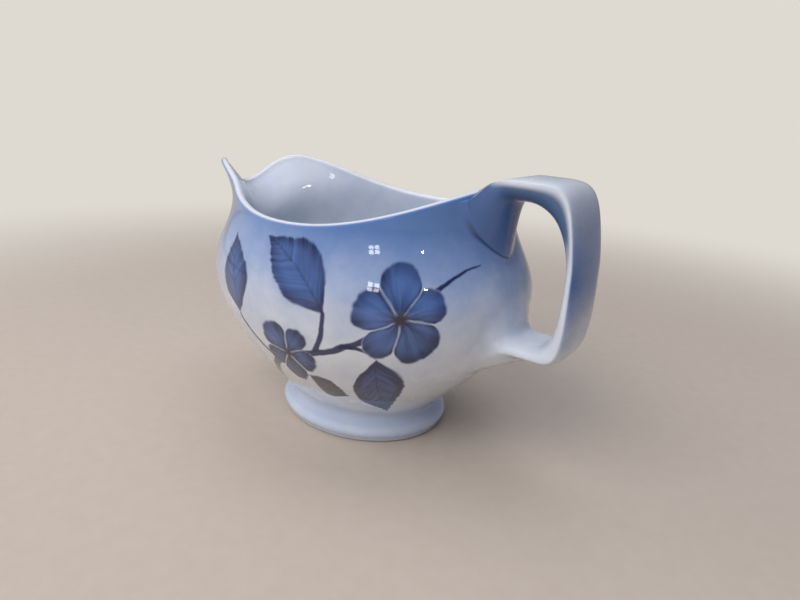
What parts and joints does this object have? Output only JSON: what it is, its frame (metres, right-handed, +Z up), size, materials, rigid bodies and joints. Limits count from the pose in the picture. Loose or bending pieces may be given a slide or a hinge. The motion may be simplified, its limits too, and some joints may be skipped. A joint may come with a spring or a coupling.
{
  "type": "porcelain cream jug",
  "caption": "Oval porcelain cream jug with a drawn-out pouring lip between raised shoulders, a low foot ring and a wide strap handle.",
  "frame": {"origin": "middle of the foot ring, on the table that the jug stands on", "axes": "+Z up, +X towards the handle, -X towards the pouring lip"},
  "size_m": [0.1262, 0.08, 0.0778],
  "materials": {
    "blue_glaze": "gloss",
    "foot_glaze": "gloss",
    "handle_glaze": "gloss",
    "slip": "gloss"
  },
  "bodies": {
    "root": {"bowl": "blue_glaze", "foot_ring": "foot_glaze", "handle": "handle_glaze", "foot_lute": "slip", "upper_handle_lute": "slip", "lower_handle_lute": "slip"}
  },
  "joints": []
}
